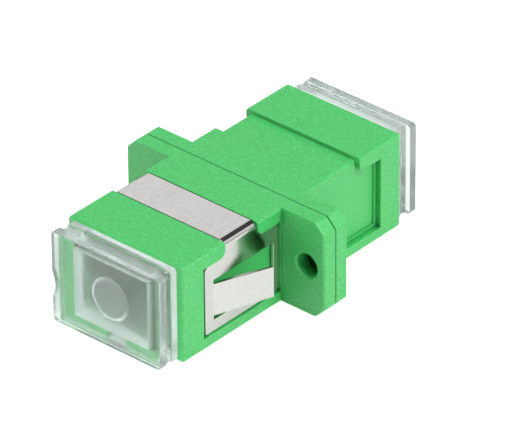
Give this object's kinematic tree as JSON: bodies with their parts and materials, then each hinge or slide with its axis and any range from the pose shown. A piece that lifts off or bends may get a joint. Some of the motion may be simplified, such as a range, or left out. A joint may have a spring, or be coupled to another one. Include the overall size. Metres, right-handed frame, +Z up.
{
  "type": "flanged fibre optic coupler",
  "caption": "Single-port flanged fibre coupler: square push-pull port on each side, ear holes, sprung panel clip and clear dust caps.",
  "frame": {"origin": "middle of the flange seam, on the fibre axis", "axes": "+Y along the fibre axis towards the rear port, +Z up, +X across the flange to one ear"},
  "size_m": [0.0222, 0.033, 0.0094],
  "materials": {
    "green_plastic": "fine matte moulded",
    "spring_steel": "bright rolled sheet",
    "ceramic": "ground white ceramic",
    "holder_plastic": "natural moulded",
    "clear_plastic": "clear moulded plastic"
  },
  "bodies": {
    "coupler": {"front_housing": "green_plastic", "rear_housing": "green_plastic", "panel_clip": "spring_steel", "split_sleeve": "ceramic", "front_latch": "holder_plastic", "rear_latch": "holder_plastic"},
    "front_cap": {"front_dust_cap": "clear_plastic"},
    "rear_cap": {"rear_dust_cap": "clear_plastic"}
  },
  "joints": [
    {"name": "front_cap_pull", "type": "slide", "parent": "coupler", "child": "front_cap", "axis": [0, -1, 0], "range_m": [0, 0.012]},
    {"name": "rear_cap_pull", "type": "slide", "parent": "coupler", "child": "rear_cap", "axis": [0, 1, 0], "range_m": [0, 0.012]}
  ]
}
